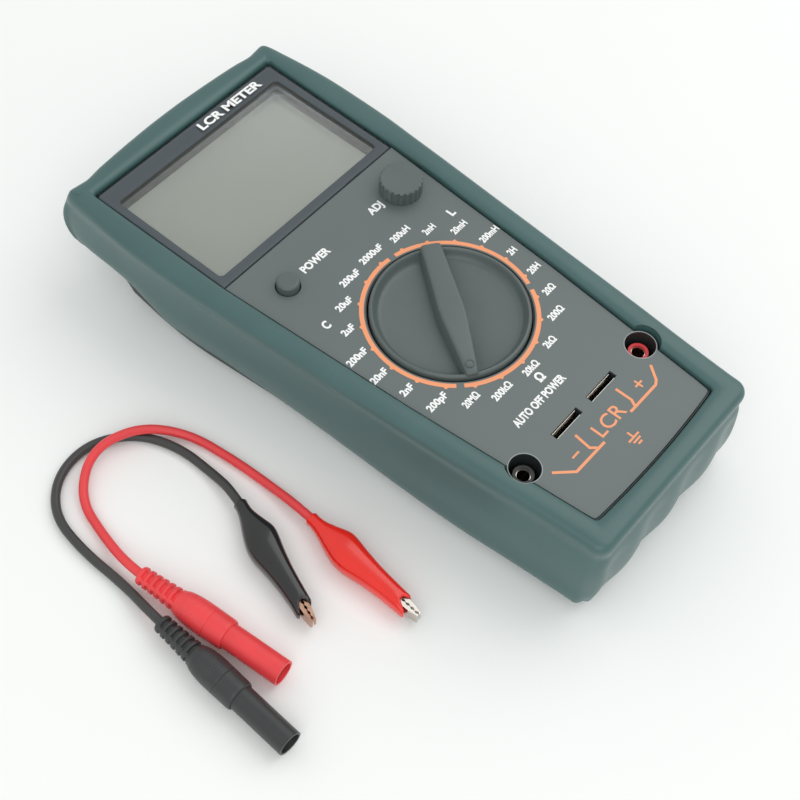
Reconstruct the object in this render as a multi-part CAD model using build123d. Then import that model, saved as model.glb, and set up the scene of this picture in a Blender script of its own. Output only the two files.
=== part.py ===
from build123d import *
import os
from math import atan2, cos, degrees, hypot, radians, sin, tan

# Handheld component tester (inductance, capacitance and resistance meter) in a rubber holster,
# with its two test leads. Millimetres. The meter lies on its back on z = 0 with the display end
# towards +Y and the dial facing +Z. The leads lie on z = 0 beside it, on the -X side.

os.makedirs("parts", exist_ok=True)

# ---------------------------------------------------------------- driving dimensions
FACE_Z = 38.0            # printed front face
RIM_Z = 40.0             # crest of the holster lip
Y_FRONT = -103.0         # lip edge at the jack end
Y_BACK = 105.0           # lip edge at the display end, at the middle of its shallow arch
HALF_FRONT = 37.9        # lip half width at the jack end
HALF_WIDE = 50.6         # lip half width where the two side lines would meet
HALF_BACK = 45.8         # lip half width at the display end
Y_WIDE = 55.0
Y_EARS = 103.2
BOW_Y = 85.0             # a point on the sloping underside at the display end, and its slope
BOW_Z = 4.0
BOW_ANGLE = 41.2
FLOOR = 5.0              # holster floor
WALL = 3.8               # holster wall
GAP = 0.2                # case to holster
SHELL = 2.2              # case wall
SPLIT_Z = 19.0           # joint line between rear and front case
DECK_Z = 36.0            # top of the front case under the holster lip
PLATFORM_Z = 37.4        # raised panel seat of the front case
CASE_Z = FLOOR + GAP     # underside of the rear case

DIAL = (0.0, -17.0)      # centre of the range dial
KNOB_R = 25.4
DIAL_HOLE_R = 25.9
ADJ = (27.9, 26.4)       # zero-adjust knob
ADJ_R = 7.1
POWER = (-26.2, 26.8)    # push button
POWER_R = 3.7
JACK_X = 29.4
JACK_Y = -68.35
WELL_R = 4.9             # recess round each jack
SLOT_Y = -68.2
SLOT_X0 = 2.4
SLOT_X1 = 15.2
SLOT_W = 2.6

PCB_Z = 25.2
PCB_T = 1.6
PCB_TOP = PCB_Z + PCB_T

STAND_HINGE = (40.0, 2.2)   # y, z of the tilt stand's pin
CABLE_D = 3.0
PLUG_Z = 5.0                # plug axis above the surface
CLIP_Z = 4.3                # clip axis above the surface


# ---------------------------------------------------------------- helpers
def save(node, shape):
    export_step(shape, f"parts/{node}.step")


def group(shapes):
    return Compound(children=list(shapes))


def box(x0, x1, y0, y1, z0, z1):
    block = Box(x1 - x0, y1 - y0, z1 - z0)
    return Pos((x0 + x1) / 2, (y0 + y1) / 2, (z0 + z1) / 2) * block


def rod(x, y, z0, z1, radius):
    return Pos(x, y, (z0 + z1) / 2) * Cylinder(radius, z1 - z0)


def tube(x, y, z0, z1, outer, inner):
    return rod(x, y, z0, z1, outer) - rod(x, y, z0, z1, inner)


def rounded(points, radii):
    """Face inside a closed outline of straight sides, with one corner radius per point."""
    corners = [Vector(*p) for p in points]
    arcs, starts, ends = [], [], []
    for i, radius in enumerate(radii):
        before, here, after = corners[i - 1], corners[i], corners[(i + 1) % len(corners)]
        into, out = (here - before).normalized(), (after - here).normalized()
        half_turn = radians(into.get_angle(out)) / 2
        reach = radius * tan(half_turn)
        starts.append(here - into * reach)
        ends.append(here + out * reach)
        inward = (out - into).normalized()
        crown = here + inward * (radius / cos(half_turn) - radius)
        arcs.append(ThreePointArc(starts[-1], crown, ends[-1]) if radius > 0 else None)
    edges = []
    for i, arc in enumerate(arcs):
        edges += [arc] if arc else []
        edges.append(Line(ends[i], starts[(i + 1) % len(corners)]))
    return Face(Wire(edges))


def shell_outline(inset, front=0.0, back=0.0):
    """Outline parallel to the holster's lip edge; front and back add to the inset of each end."""
    y0 = Y_FRONT + inset + front
    y1 = Y_EARS - inset - back
    y2 = Y_BACK - inset - back
    x1 = HALF_WIDE + (HALF_BACK - HALF_WIDE) * (y1 - Y_WIDE) / (Y_EARS - Y_WIDE)
    right = [(HALF_FRONT - inset, y0), (HALF_WIDE - inset, Y_WIDE), (x1 - inset, y1)]
    left = [(-x, y) for x, y in reversed(right)]
    corner = max(6.0 - inset * 0.4, 2.0)
    radii = [corner, 150, corner, 260, corner, 150, corner]
    return rounded(right + [(0.0, y2)] + left, radii)


def panel_outline(grow=0.0, y_low=-93.9, y_high=96.6):
    """Outline of the printed panel and the display lens, between two heights along Y."""
    sides = [(-93.9, 29.6), (-29.0, 35.5), (40.8, 40.0), (96.6, 40.6)]

    def half(y):
        for (ya, xa), (yb, xb) in zip(sides, sides[1:]):
            if y <= yb:
                return xa + (xb - xa) * (y - ya) / (yb - ya)
        return sides[-1][1]

    low, high = y_low - grow, y_high + grow
    right = [(half(y_low) + grow, low)]
    right += [(x + grow, y) for y, x in sides[1:3] if y_low < y < y_high]
    right += [(half(y_high) + grow, high)]
    left = [(-x, y) for x, y in reversed(right)]
    inner = [0] * (len(right) - 2)
    return rounded(right + left, [2.0] + inner + [2.0, 2.0] + inner + [2.0])


def slab(face, z0, z1):
    return Pos(0, 0, z0) * extrude(face, z1 - z0)


def under_bow(inset):
    """Space below the sloping underside of the display end, moved inwards by an inset."""
    y = BOW_Y - inset * sin(radians(BOW_ANGLE))
    z = BOW_Z + inset * cos(radians(BOW_ANGLE))
    return Pos(0, y, z) * Rot(BOW_ANGLE, 0, 0) * Pos(0, 0, -20) * Box(200, 120, 40)


def hull(inset, z0, z1):
    """Solid parallel to the holster's outside, with the sloping underside at the display end."""
    return slab(shell_outline(inset), z0, z1) - under_bow(inset)


# ---------------------------------------------------------------- holster and tilt stand
def holster():
    """Rubber boot: floor, leaning walls and a lip that hooks over the case."""
    heights = [(0.0, 6.2, 3.0, 19.5), (2.2, 3.6, 0.4, 18.5), (7.0, 2.0, -2.0, 14.6),
               (18.0, 1.1, -2.8, 3.4), (24.0, 0.9, -2.7, 0.5), (31.0, 0.9, -1.0, -0.4),
               (36.0, 0.0, 0.0, 0.0), (38.6, 0.3, 0.0, 0.0), (RIM_Z, 2.2, 0.0, 0.0)]
    sections = [Pos(0, 0, z) * shell_outline(i, f, b) for z, i, f, b in heights]
    body = loft(sections, ruled=True)
    body -= hull(WALL, FLOOR, DECK_Z + 0.2)
    body -= slab(panel_outline(0.7), DECK_Z, RIM_Z + 1)
    for side in (-1, 1):
        body -= rod(side * JACK_X, JACK_Y, DECK_Z, RIM_Z + 1, 6.4)
    hinge_y, hinge_z = STAND_HINGE
    body -= box(-26.5, 26.5, -52.0, hinge_y + 2.0, -1, 4.0)
    body -= box(-9.0, 9.0, -60.0, -51.0, -1, 3.2)
    body -= Pos(0, hinge_y, hinge_z) * Rot(0, 90, 0) * Cylinder(0.9, 60)
    return body


def stand_pin():
    return Pos(0, STAND_HINGE[0], STAND_HINGE[1]) * Rot(0, 90, 0) * Cylinder(0.9, 60)


def tilt_stand():
    """Flat prop that folds into the holster's back and swings out about its pin."""
    hinge_y, hinge_z = STAND_HINGE
    plate = box(-26.0, 26.0, -51.0, hinge_y, hinge_z - 1.1, hinge_z + 1.1)
    barrel = Pos(0, hinge_y, hinge_z) * Rot(0, 90, 0) * Cylinder(1.4, 52)
    relief = box(-18.0, 18.0, -40.0, 26.0, hinge_z + 0.1, hinge_z + 2)
    grips = [box(-20, 20, y, y + 1.2, 0, hinge_z - 0.7) for y in (-48.5, -45.5, -42.5)]
    stand = plate + barrel - relief
    for groove in grips:
        stand -= groove
    return stand - Pos(0, hinge_y, hinge_z) * Rot(0, 90, 0) * Cylinder(0.95, 60)


# ---------------------------------------------------------------- case
SCREW_POSTS = [(-39.0, 35.5), (39.0, 35.5), (-29.0, -84.5), (29.0, -84.5)]
BOARD_POSTS = [(-31.5, 14.5), (31.5, 14.5), (-22.5, -55.5), (22.5, -55.5)]
CASE_INSET = WALL + GAP
BATTERY = (-23.6, 23.0, 46.0, 72.5, CASE_Z + 2.4, CASE_Z + 19.4)   # x0, x1, y0, y1, z0, z1
HATCH = (-29.0, 27.0, 44.0, 74.5)
HATCH_SCREW = (31.5, 59.0)


def rear_case():
    body = hull(CASE_INSET, CASE_Z, SPLIT_Z)
    body -= hull(CASE_INSET + SHELL, CASE_Z + SHELL, SPLIT_Z + 1)
    for x, y in SCREW_POSTS:
        body += rod(x, y, CASE_Z + 1, SPLIT_Z, 2.9)
        body -= rod(x, y, CASE_Z - 1, CASE_Z + 6.0, 2.3)
        body -= rod(x, y, CASE_Z, SPLIT_Z + 1, 1.2)
    x0, x1, y0, y1 = HATCH
    body += box(x0 - 1.5, x1 + 6.0, y0 - 1.5, y0, CASE_Z + 1, SPLIT_Z - 3)
    body += box(x0 - 1.5, x1 + 6.0, y1, y1 + 1.5, CASE_Z + 1, SPLIT_Z - 3)
    body += box(x1 + 3.5, x1 + 5.5, y0 - 1.0, y1 + 1.0, CASE_Z + SHELL, CASE_Z + 9)
    body += rod(*HATCH_SCREW, CASE_Z + 1, CASE_Z + 9, 3.0)
    body -= box(x0, x1 + 8.0, y0 + 0.5, y1 - 0.5, CASE_Z - 1, CASE_Z + SHELL)
    body -= rod(*HATCH_SCREW, CASE_Z, CASE_Z + 8, 1.2)
    return body


def battery_cover():
    x0, x1, y0, y1 = HATCH
    plate = box(x0 + 0.2, x1 + 7.8, y0 + 0.7, y1 - 0.7, CASE_Z, CASE_Z + 2.0)
    plate += box(x0 - 1.2, x0 + 0.4, y0 + 8, y1 - 8, CASE_Z + 2.0 + 0.2, CASE_Z + 2.0 + 1.4)
    plate += box(x0 + 0.2, x0 + 0.4, y0 + 8, y1 - 8, CASE_Z + 1.0, CASE_Z + 3.4)
    plate -= rod(*HATCH_SCREW, CASE_Z - 1, CASE_Z + 3, 1.3)
    return plate - rod(*HATCH_SCREW, CASE_Z - 1, CASE_Z + 1.1, 2.3)


def front_case():
    body = hull(CASE_INSET, SPLIT_Z, DECK_Z)
    body += slab(panel_outline(0.35), DECK_Z - 1, PLATFORM_Z)
    body -= hull(CASE_INSET + SHELL, SPLIT_Z - 1, DECK_Z - SHELL)
    for x, y in SCREW_POSTS:
        body += rod(x, y, SPLIT_Z, DECK_Z - 1, 2.6)
        body -= rod(x, y, SPLIT_Z - 1, SPLIT_Z + 9.0, 1.0)
    for x, y in BOARD_POSTS:
        body += rod(x, y, PCB_TOP, DECK_Z - 1, 2.3)
        body -= rod(x, y, PCB_TOP - 1, PCB_TOP + 5.0, 0.8)
    # dial opening with the retaining wall round it
    body += tube(*DIAL, PCB_TOP + 0.6, DECK_Z - 1, 31.4, 29.2)
    body -= rod(*DIAL, DECK_Z - SHELL - 1, FACE_Z, DIAL_HOLE_R)
    body -= rod(*ADJ, DECK_Z - 4, FACE_Z, 3.4)
    body -= rod(*POWER, DECK_Z - 4, FACE_Z, POWER_R + 0.25)
    for side in (-1, 1):
        x = side * JACK_X
        body += rod(x, JACK_Y, SPLIT_Z + 0.2, FACE_Z - 0.1, WELL_R + 0.5)
        body -= rod(x, JACK_Y, SPLIT_Z - 1, FACE_Z + 1, WELL_R)
        body -= box(*sorted((side * SLOT_X0, side * SLOT_X1)), SLOT_Y - SLOT_W / 2,
                    SLOT_Y + SLOT_W / 2, DECK_Z - 4, FACE_Z)
    # display window and the rebate that takes the lens
    body -= box(-37.4, 37.4, 44.3, 90.2, DECK_Z - 4, FACE_Z)
    body -= slab(panel_outline(0.0, 40.9), PLATFORM_Z - 1.0, FACE_Z)
    return body


def faceplate():
    plate = slab(panel_outline(0.0, -93.9, 40.4), PLATFORM_Z, FACE_Z)
    plate -= rod(*DIAL, PLATFORM_Z - 1, FACE_Z + 1, DIAL_HOLE_R)
    plate -= rod(*ADJ, PLATFORM_Z - 1, FACE_Z + 1, 3.4)
    plate -= rod(*POWER, PLATFORM_Z - 1, FACE_Z + 1, POWER_R + 0.25)
    for side in (-1, 1):
        plate -= rod(side * JACK_X, JACK_Y, PLATFORM_Z - 1, FACE_Z + 1, WELL_R + 0.5)
        plate -= box(*sorted((side * SLOT_X0, side * SLOT_X1)), SLOT_Y - SLOT_W / 2,
                     SLOT_Y + SLOT_W / 2, PLATFORM_Z - 1, FACE_Z + 1)
    return plate


def display_lens():
    return slab(panel_outline(0.0, 40.9), PLATFORM_Z - 1.0, FACE_Z + 0.3)


def case_screws():
    screws = []
    for x, y in SCREW_POSTS:
        head = rod(x, y, CASE_Z + 4.2, CASE_Z + 6.0, 2.2)
        shank = rod(x, y, CASE_Z + 6.0, SPLIT_Z + 8.0, 1.0)
        cross = box(x - 1.2, x + 1.2, y - 0.3, y + 0.3, CASE_Z + 4, CASE_Z + 5.2)
        screws.append(head + shank - cross)
    return group(screws)


def hatch_screw():
    x, y = HATCH_SCREW
    head = rod(x, y, CASE_Z + 0.2, CASE_Z + 1.1, 2.2)
    shank = rod(x, y, CASE_Z + 1.1, CASE_Z + 7.5, 1.2)
    return head + shank - box(x - 1.3, x + 1.3, y - 0.3, y + 0.3, CASE_Z, CASE_Z + 0.8)


# ---------------------------------------------------------------- display
def lcd_frame():
    ring = box(-38.2, 38.2, 41.9, 92.2, PCB_TOP + 0.2, DECK_Z - SHELL - 0.1)
    ring -= box(-36.4, 36.4, 43.9, 90.2, PCB_TOP, DECK_Z)
    shelf = box(-36.4, 36.4, 43.9, 90.2, PCB_TOP + 0.2, PCB_TOP + 1.4)
    shelf -= box(-34.0, 34.0, 50.0, 86.0, PCB_TOP, PCB_TOP + 2)
    return ring + shelf


def lcd_glass():
    return box(-36.2, 36.2, 44.1, 90.0, FACE_Z - 7.2, FACE_Z - 5.0)


def zebra_strip():
    return box(-33.0, 33.0, 44.3, 46.3, PCB_TOP + 1.4, FACE_Z - 7.2)


# ---------------------------------------------------------------- board and what it carries
def main_board():
    board = slab(shell_outline(CASE_INSET + SHELL + 1.4), PCB_Z, PCB_TOP)
    for x, y in SCREW_POSTS:
        board -= rod(x, y, PCB_Z - 1, PCB_TOP + 1, 3.2)
    for x, y in BOARD_POSTS:
        board -= rod(x, y, PCB_Z - 1, PCB_TOP + 1, 0.9)
    for side in (-1, 1):
        board -= rod(side * JACK_X, JACK_Y, PCB_Z - 1, PCB_TOP + 1, WELL_R + 0.9)
    return board


def board_screws():
    screws = []
    for x, y in BOARD_POSTS:
        screws.append(rod(x, y, PCB_Z - 1.3, PCB_Z, 1.9) + rod(x, y, PCB_Z, PCB_TOP + 4.4, 0.8))
    return group(screws)


def board_chips():
    places = [(-18, -4, -60, -50), (4, 18, -60, -51), (-8, 10, 24, 34), (14, 22, 20, 34)]
    chips = [box(x0, x1, y0, y1, PCB_TOP, PCB_TOP + 2.4) for x0, x1, y0, y1 in places]
    return group(chips)


def trimmers():
    return group([box(x, x + 6, -58, -52, PCB_Z - 6.5, PCB_Z) for x in (-34, 28)]
                 + [box(x, x + 6, 20, 26, PCB_Z - 6.5, PCB_Z) for x in (-4, 6)])


def fuse():
    body = Pos(0, -86.0, PCB_TOP + 3.4) * Rot(0, 90, 0) * Cylinder(2.4, 11)
    caps = [Pos(x, -86.0, PCB_TOP + 3.4) * Rot(0, 90, 0) * Cylinder(2.6, 4.5)
            for x in (-7.75, 7.75)]
    return body + caps[0] + caps[1]


def fuse_clips():
    clips = []
    for x in (-7.75, 7.75):
        clip = box(x - 2.0, x + 2.0, -89.1, -82.9, PCB_TOP, PCB_TOP + 5.2)
        clip -= box(x - 3.0, x + 3.0, -88.6, -83.4, PCB_TOP + 0.5, PCB_TOP + 6)
        clips.append(clip)
    return group(clips)


def battery():
    x0, x1, y0, y1, z0, z1 = BATTERY
    body = fillet(box(x0 + 2.0, x1, y0, y1, z0, z1).edges().filter_by(Axis.X), 1.5)
    mid = (z0 + z1) / 2
    for y in (y0 + 7.0, y1 - 7.0):
        body += Pos(x0 + 1.0, y, mid) * Rot(0, 90, 0) * Cylinder(2.9, 2.2)
    return body


def battery_snap():
    x0, _, y0, y1, z0, z1 = BATTERY
    mid = (z0 + z1) / 2
    strip = box(x0 - 3.2, x0 + 1.8, y0 + 0.5, y1 - 0.5, mid - 5.5, mid + 5.5)
    for y in (y0 + 7.0, y1 - 7.0):
        strip -= Pos(x0 + 1.0, y, mid) * Rot(0, 90, 0) * Cylinder(2.9, 2.3)
    return strip


def battery_pad():
    _, x1, y0, y1, z0, z1 = BATTERY
    return box(x1, x1 + 3.4, y0 + 2, y1 - 2, z0, z1 - 3)


def battery_wires():
    """Two insulated leads from the snap's edge up to the underside of the board."""
    x = BATTERY[0] - 3.2
    z = (BATTERY[4] + BATTERY[5]) / 2
    leads = []
    for y, drop in ((54.0, 6.0), (64.5, 8.0)):
        points = [(x, y, z), (x - 3.0, y, z), (x - 6.5, y - 2.5, z + 1.8),
                  (x - 6.9, y - 7.0, z + 4.4), (x - 6.5, y - drop - 4.5, z + 6.6),
                  (x - 6.5, y - drop - 4.5, PCB_Z)]
        leads.append(cable_tube(points, 1.3))
    return group(leads)


# ---------------------------------------------------------------- range switch
POINTER = 234.0          # direction of the dial pointer at rest, degrees from +X
DIAL_PLACE = Pos(*DIAL, 0) * Rot(0, 0, POINTER)
FLOOR_Z = FACE_Z - 1.8   # dished floor of the knob
ROTOR_Z = (PCB_TOP + 1.5, PCB_TOP + 4.6)


def range_knob():
    """Dished disc with a tapered finger bar across it; its hub drives the rotor."""
    top = FACE_Z + 1.2
    disc = rod(0, 0, 33.4, top, KNOB_R)
    disc -= Pos(0, 0, FLOOR_Z) * extrude(Circle(24.0), 10, taper=-20)
    wide, narrow = 3.9, 1.9
    outline = rounded([(-23.6, -wide), (2.0, -4.1), (24.6, -narrow), (24.6, narrow),
                       (2.0, 4.1), (-23.6, wide)], [1.5, 20, 1.2, 1.2, 20, 1.5])
    disc += Pos(0, 0, FLOOR_Z - 0.5) * extrude(outline, FACE_Z + 4.0 - FLOOR_Z + 0.5, taper=7)
    disc += rod(0, 0, ROTOR_Z[1], 33.4, 8.0)
    return DIAL_PLACE * disc


def range_rotor():
    rotor = rod(0, 0, *ROTOR_Z, 27.4)
    middle = (ROTOR_Z[0] + ROTOR_Z[1]) / 2
    for angle in (0, 180):
        pocket = Pos(23.4, 0, middle) * Rot(0, 90, 0) * Cylinder(1.25, 9.0)
        rotor -= Rot(0, 0, angle) * pocket
    return DIAL_PLACE * rotor


def detent_balls():
    middle = (ROTOR_Z[0] + ROTOR_Z[1]) / 2
    return group([DIAL_PLACE * Rot(0, 0, a) * Pos(27.4, 0, middle) * Sphere(1.2)
                  for a in (0, 180)])


def detent_springs():
    middle = (ROTOR_Z[0] + ROTOR_Z[1]) / 2
    coil = Cylinder(1.1, 7.0) - Cylinder(0.7, 7.0)
    return group([DIAL_PLACE * Rot(0, 0, a) * Pos(22.6, 0, middle) * Rot(0, 90, 0) * coil
                  for a in (0, 180)])


def rotor_contacts():
    """Three sprung bridging fingers under the rotor, just clear of the board's pads."""
    fingers = []
    for angle, radius in ((20, 13.0), (140, 17.0), (260, 21.0)):
        strip = box(radius - 3.5, radius + 3.5, -1.4, 1.4, ROTOR_Z[0] - 0.3, ROTOR_Z[0])
        for tip in (radius - 2.9, radius + 2.9):
            strip += box(tip - 0.6, tip + 0.6, -1.4, 1.4, PCB_TOP + 0.15, ROTOR_Z[0] - 0.2)
        fingers.append(DIAL_PLACE * Rot(0, 0, angle) * strip)
    return group(fingers)


# ---------------------------------------------------------------- zero adjust
def adj_knob():
    flutes = 22
    knob = rod(0, 0, FACE_Z + 0.3, FACE_Z + 5.6, ADJ_R)
    top_edge = knob.edges().filter_by(GeomType.CIRCLE).sort_by(Axis.Z)[-1]
    knob = chamfer(top_edge, 0.5)
    for i in range(flutes):
        flute = Rot(0, 0, 360 * i / flutes) * Pos(ADJ_R + 0.25, 0, FACE_Z + 3) * Cylinder(0.6, 8)
        knob -= flute
    knob -= rod(0, 0, FACE_Z, FACE_Z + 4.2, 3.0)
    return Pos(*ADJ, 0) * knob


def adj_shaft():
    return rod(*ADJ, PCB_TOP + 1.6, FACE_Z + 4.2, 3.0)


def adj_pot():
    body = box(ADJ[0] - 5.5, ADJ[0] + 5.5, ADJ[1] - 5.5, ADJ[1] + 5.5, PCB_TOP, PCB_TOP + 5.0)
    return body - rod(*ADJ, PCB_TOP + 1.5, PCB_TOP + 6, 3.06)


# ---------------------------------------------------------------- power switch
SWITCH_TOP = PCB_TOP + 4.0


def power_button():
    x, y = POWER
    cap = rod(x, y, DECK_Z - SHELL - 1.0, FACE_Z + 3.0, POWER_R)
    rim = cap.edges().filter_by(GeomType.CIRCLE).sort_by(Axis.Z)[-1]
    cap = fillet(rim, 1.0)
    cap += rod(x, y, DECK_Z - SHELL - 1.0, DECK_Z - SHELL - 0.2, 4.6)
    return cap - box(x - 1.5, x + 1.5, y - 1.5, y + 1.5, DECK_Z - 4, DECK_Z + 1.0)


def power_plunger():
    x, y = POWER
    return box(x - 1.5, x + 1.5, y - 1.5, y + 1.5, PCB_TOP + 2.8, DECK_Z + 1.0)


def power_switch():
    x, y = POWER
    body = box(x - 4.2, x + 4.2, y - 4.2, y + 4.2, PCB_TOP, SWITCH_TOP)
    return body - box(x - 1.7, x + 1.7, y - 1.7, y + 1.7, PCB_TOP + 0.6, SWITCH_TOP + 1)


def power_spring():
    return tube(*POWER, PCB_TOP + 0.6, PCB_TOP + 2.8, 1.4, 0.9)


# ---------------------------------------------------------------- jacks and component sockets
INSERT_Z = 16.2
TUBE_TOP = FACE_Z - 3.6


def jack_insert(side):
    x = side * JACK_X
    body = rod(x, JACK_Y, INSERT_Z, SPLIT_Z, WELL_R - 0.3)
    body += rod(x, JACK_Y, SPLIT_Z, TUBE_TOP, 3.25)
    return body - rod(x, JACK_Y, INSERT_Z + 0.8, TUBE_TOP + 1, 2.3)


def jack_contacts():
    sleeves = []
    for side in (-1, 1):
        sleeves.append(tube(side * JACK_X, JACK_Y, INSERT_Z + 0.8, TUBE_TOP - 0.8, 2.3, 2.02))
    return group(sleeves)


def component_sockets():
    blocks = []
    for side in (-1, 1):
        x0, x1 = sorted((side * (SLOT_X0 - 1.2), side * (SLOT_X1 + 1.2)))
        block = box(x0, x1, SLOT_Y - 3.6, SLOT_Y + 3.6, PCB_TOP, DECK_Z - SHELL)
        sx0, sx1 = sorted((side * SLOT_X0, side * SLOT_X1))
        block -= box(sx0, sx1, SLOT_Y - 1.3, SLOT_Y + 1.3, PCB_TOP + 1.0, DECK_Z)
        blocks.append(block)
    return group(blocks)


def socket_blades():
    blades = []
    for side in (-1, 1):
        sx0, sx1 = sorted((side * (SLOT_X0 + 0.8), side * (SLOT_X1 - 0.8)))
        for y0, y1 in ((SLOT_Y - 1.3, SLOT_Y - 1.0), (SLOT_Y + 1.0, SLOT_Y + 1.3)):
            blades.append(box(sx0, sx1, y0, y1, PCB_TOP + 1.0, DECK_Z - SHELL - 0.3))
    return group(blades)


# ---------------------------------------------------------------- test leads
def cable_tube(points, diameter, report=None):
    """Round cable along straight runs joined by tangent arcs, each as large as its runs allow."""
    corners = [Vector(*p) for p in points]
    radii = []
    for a, b, c in zip(corners, corners[1:], corners[2:]):
        shorter = min((b - a).length, (c - b).length)
        turn = (b - a).get_angle(c - b)
        radii.append(0.45 * shorter / tan(radians(turn / 2)))
    path = FilletPolyline(*corners, radius=radii)
    start = Plane(origin=path @ 0, z_dir=path % 0)
    solid = sweep(start * Circle(diameter / 2), path=path)
    if report:
        section = 3.14159265 * diameter ** 2 / 4
        print(f"{report}: length {path.length:.1f} mm, radii {[round(r, 1) for r in radii]}, "
              f"volume ratio {solid.volume / (section * path.length):.4f}")
    return solid


def along(origin, direction):
    """Frame with X along a horizontal direction, Z up, placed at a point."""
    x, y = direction
    return Pos(*origin) * Rot(0, 0, degrees(atan2(y, x)))


def revolve_profile(points):
    """Solid of revolution about local X, from (distance along X, radius) points."""
    closed = [(points[0][0], 0)] + points + [(points[-1][0], 0)]
    face = make_face(Polyline(*closed, close=True))
    return revolve(face, Axis.X)


PLUG_LENGTH = 53.0
CUFF_END = 15.0          # end of the ribbed strain relief
GRIP_END = 33.2          # end of the grip, where the shroud starts
CUFF_BORE = 6.0


def plug_grip():
    """Soft grip moulded in one piece with its ribbed strain relief, along local X."""
    body = revolve_profile([(0, 2.8), (CUFF_END, 3.7), (18.0, 4.5), (22.0, 4.95),
                            (GRIP_END - 1.0, 4.9), (GRIP_END, 4.5)])
    for i in range(6):
        x = 1.6 + 2.35 * i
        ring = Rot(0, 90, 0) * (Cylinder(6.0, 1.0) - Cylinder(2.35 + 0.055 * x, 1.0))
        side_strips = Box(1.2, 1.6, 12.0)
        body -= Pos(x, 0, 0) * (ring - side_strips)
    body -= Pos(26.3, 0, 0) * Rot(0, 90, 0) * (Cylinder(6.0, 0.3) - Cylinder(4.7, 0.3))
    body -= Pos(CUFF_BORE / 2, 0, 0) * Rot(0, 90, 0) * Cylinder(CABLE_D / 2, CUFF_BORE)
    body -= Pos(20.0, 0, 0) * Rot(0, 90, 0) * Cylinder(1.5, 20.0)
    return body - Pos((30.0 + GRIP_END) / 2, 0, 0) * Rot(0, 90, 0) * Cylinder(4.1, GRIP_END - 30.0)


def plug_shroud():
    body = Pos((30.0 + PLUG_LENGTH) / 2, 0, 0) * Rot(0, 90, 0) * Cylinder(4.1, PLUG_LENGTH - 30.0)
    body -= Pos(44.0, 0, 0) * Rot(0, 90, 0) * Cylinder(3.45, 20.0)
    return body - Pos(32.0, 0, 0) * Rot(0, 90, 0) * Cylinder(1.5, 8.0)


def plug_pin():
    return revolve_profile([(CUFF_BORE + 4.0, 1.5), (34.0, 1.5), (34.0, 1.8), (36.5, 1.8),
                            (36.5, 1.5), (48.5, 1.5), (48.5, 1.85), (50.6, 1.85), (51.6, 1.0)])


def plug_cage():
    """Barrel-shaped contact spring round the pin, with slots between its leaves."""
    shell = revolve(make_face(Polyline((36.6, 1.55), (36.6, 1.75), (42.5, 2.0), (48.4, 1.75),
                                       (48.4, 1.55), (36.6, 1.55))), Axis.X)
    for i in range(4):
        shell -= Rot(45 * i, 0, 0) * Pos(42.5, 0, 0) * Box(9.0, 0.5, 6.0)
    return shell


BOOT_LENGTH = 41.0
PIVOT_U = 21.0
JAW_TIP = 46.2


def section(u, half_width, half_height, corner):
    """Rounded rectangle across the clip's axis at distance u."""
    plane = Plane(origin=(u, 0, 0), x_dir=(0, 1, 0), z_dir=(1, 0, 0))
    return plane * RectangleRounded(2 * half_width, 2 * half_height, corner)


def clip_boot():
    """Soft sleeve over the clip: tight neck, wide shoulders over the handles, open mouth."""
    outer = loft([section(0, 2.35, 2.35, 2.3), section(6.0, 3.0, 2.8, 2.6),
                  section(15.0, 6.0, 3.9, 2.8), section(19.0, 6.1, 4.0, 2.8),
                  section(BOOT_LENGTH, 3.7, 3.3, 1.9)], ruled=True)
    inner = loft([section(8.8, 2.9, 2.4, 0.9), section(15.0, 5.3, 3.2, 0.9),
                  section(19.0, 5.4, 3.2, 0.9), section(BOOT_LENGTH + 0.1, 3.0, 2.6, 0.9)],
                 ruled=True)
    body = outer - inner
    return body - Pos(4.5, 0, 0) * Rot(0, 90, 0) * Cylinder(CABLE_D / 2, 10.0)


def jaw_outline(side, tail):
    """Side view of one jaw in the clip's opening plane: handle, ear round the pivot, nose."""
    flare = 2.9 + (tail - 10.4) * 0.484
    edge = [(tail, flare), (13.5, 4.4), (18.0, 3.6), (24.0, 2.7), (43.0, 1.5), (JAW_TIP, 0.9)]
    edge = [(u, v * side) for u, v in edge]
    teeth = 7
    first, last = 33.0, JAW_TIP
    pitch = (last - first) / teeth
    inner = [(last, 0.15 * side)]
    for i in range(teeth):
        u = last - i * pitch
        inner += [(u - pitch * 0.5, 0.6 * side), (u - pitch, 0.15 * side)]
    inner += [(24.5, 0.15 * side), (23.4, -1.5 * side), (18.6, -1.5 * side), (17.5, 2.4 * side),
              (13.5, 3.3 * side), (tail, (flare - 0.8) * side)]
    return make_face(Polyline(*edge, *inner, close=True))


def jaw(side, width, tail):
    """Folded sheet jaw: two cheeks joined by a web along the outer edge."""
    body = Pos(0, 0, -width / 2) * extrude(jaw_outline(side, tail), width)
    hollow_profile = make_face(Polyline(
        (8.0, 1.24 * side), (13.5, 3.9 * side), (18.0, 3.1 * side), (24.0, 2.2 * side),
        (42.8, 1.0 * side), (JAW_TIP - 1.2, 0.5 * side), (JAW_TIP - 1.2, -2.0 * side),
        (8.0, -2.0 * side), close=True))
    inside = width - 1.0
    body -= Pos(0, 0, -inside / 2) * extrude(hollow_profile, inside)
    return body


def fixed_jaw():
    body = jaw(-1, 4.6, 10.4)
    crimp = Pos(10.2, 0, 0) * Rot(0, 90, 0) * (Cylinder(1.9, 2.4) - Cylinder(1.5, 2.4))
    tab = box(10.4, 11.4, -2.8, -1.7, -1.0, 1.0)
    hole = Pos(PIVOT_U, 0, 0) * Cylinder(0.75, 10)
    return body + (crimp + tab) - hole


def moving_jaw():
    return jaw(1, 3.4, 12.6) - Pos(PIVOT_U, 0, 0) * Cylinder(0.8, 10)


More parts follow.
